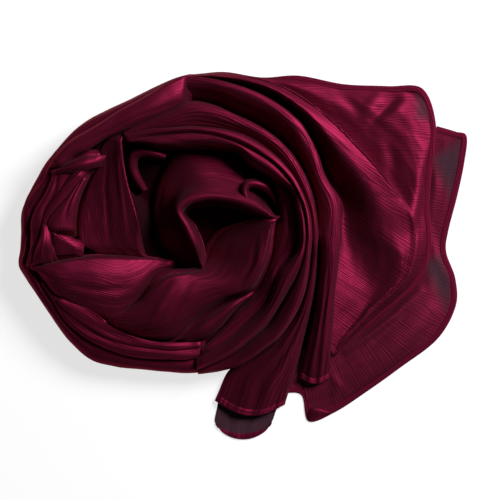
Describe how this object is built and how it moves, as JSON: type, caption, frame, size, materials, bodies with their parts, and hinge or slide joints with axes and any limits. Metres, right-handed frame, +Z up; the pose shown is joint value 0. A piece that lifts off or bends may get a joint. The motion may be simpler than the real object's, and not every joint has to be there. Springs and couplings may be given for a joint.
{
  "type": "satin hijab scarf",
  "caption": "Long rectangular hijab of crinkled satin with narrow hems, laid flat on a surface as a loose coil with its two ends spread out.",
  "frame": {"origin": "on the surface it lies on, under the middle of its outline", "axes": "+Z up out of the surface, +Y away from the viewer, +X to the right towards the broad spread end"},
  "size_m": [0.4484, 0.3708, 0.0623],
  "materials": {
    "wine_satin": "soft satin with a fine lengthwise crinkle",
    "wine_satin_single": "the same satin in a single sheer layer",
    "wine_hem": "turned and stitched satin hem"
  },
  "bodies": {
    "root": {"band_bottom": "wine_satin", "band_inner": "wine_satin", "band_top_left": "wine_satin", "core": "wine_satin", "end_broad": "wine_satin", "end_under": "wine_satin_single", "fold_front": "wine_satin", "fold_hook": "wine_satin", "fold_left_1": "wine_satin", "fold_left_2": "wine_satin", "fold_left_3": "wine_satin", "fold_loop": "wine_satin", "hem_end_broad": "wine_hem", "hem_end_under": "wine_hem", "hem_strand": "wine_hem", "hem_tail_left": "wine_hem", "hem_tail_sheer": "wine_hem", "knot_left": "wine_satin", "leaf_small": "wine_satin", "panel_left": "wine_satin", "petal_eye": "wine_satin", "petal_front": "wine_satin", "petal_left": "wine_satin", "rim_bottom": "wine_satin", "rim_left": "wine_satin", "rim_top_left": "wine_satin", "strand": "wine_satin", "tail_left": "wine_satin", "tail_sheer": "wine_satin_single", "tuck_left": "wine_satin", "turn_b": "wine_satin", "turn_c": "wine_satin", "turn_inner": "wine_satin"}
  },
  "joints": []
}
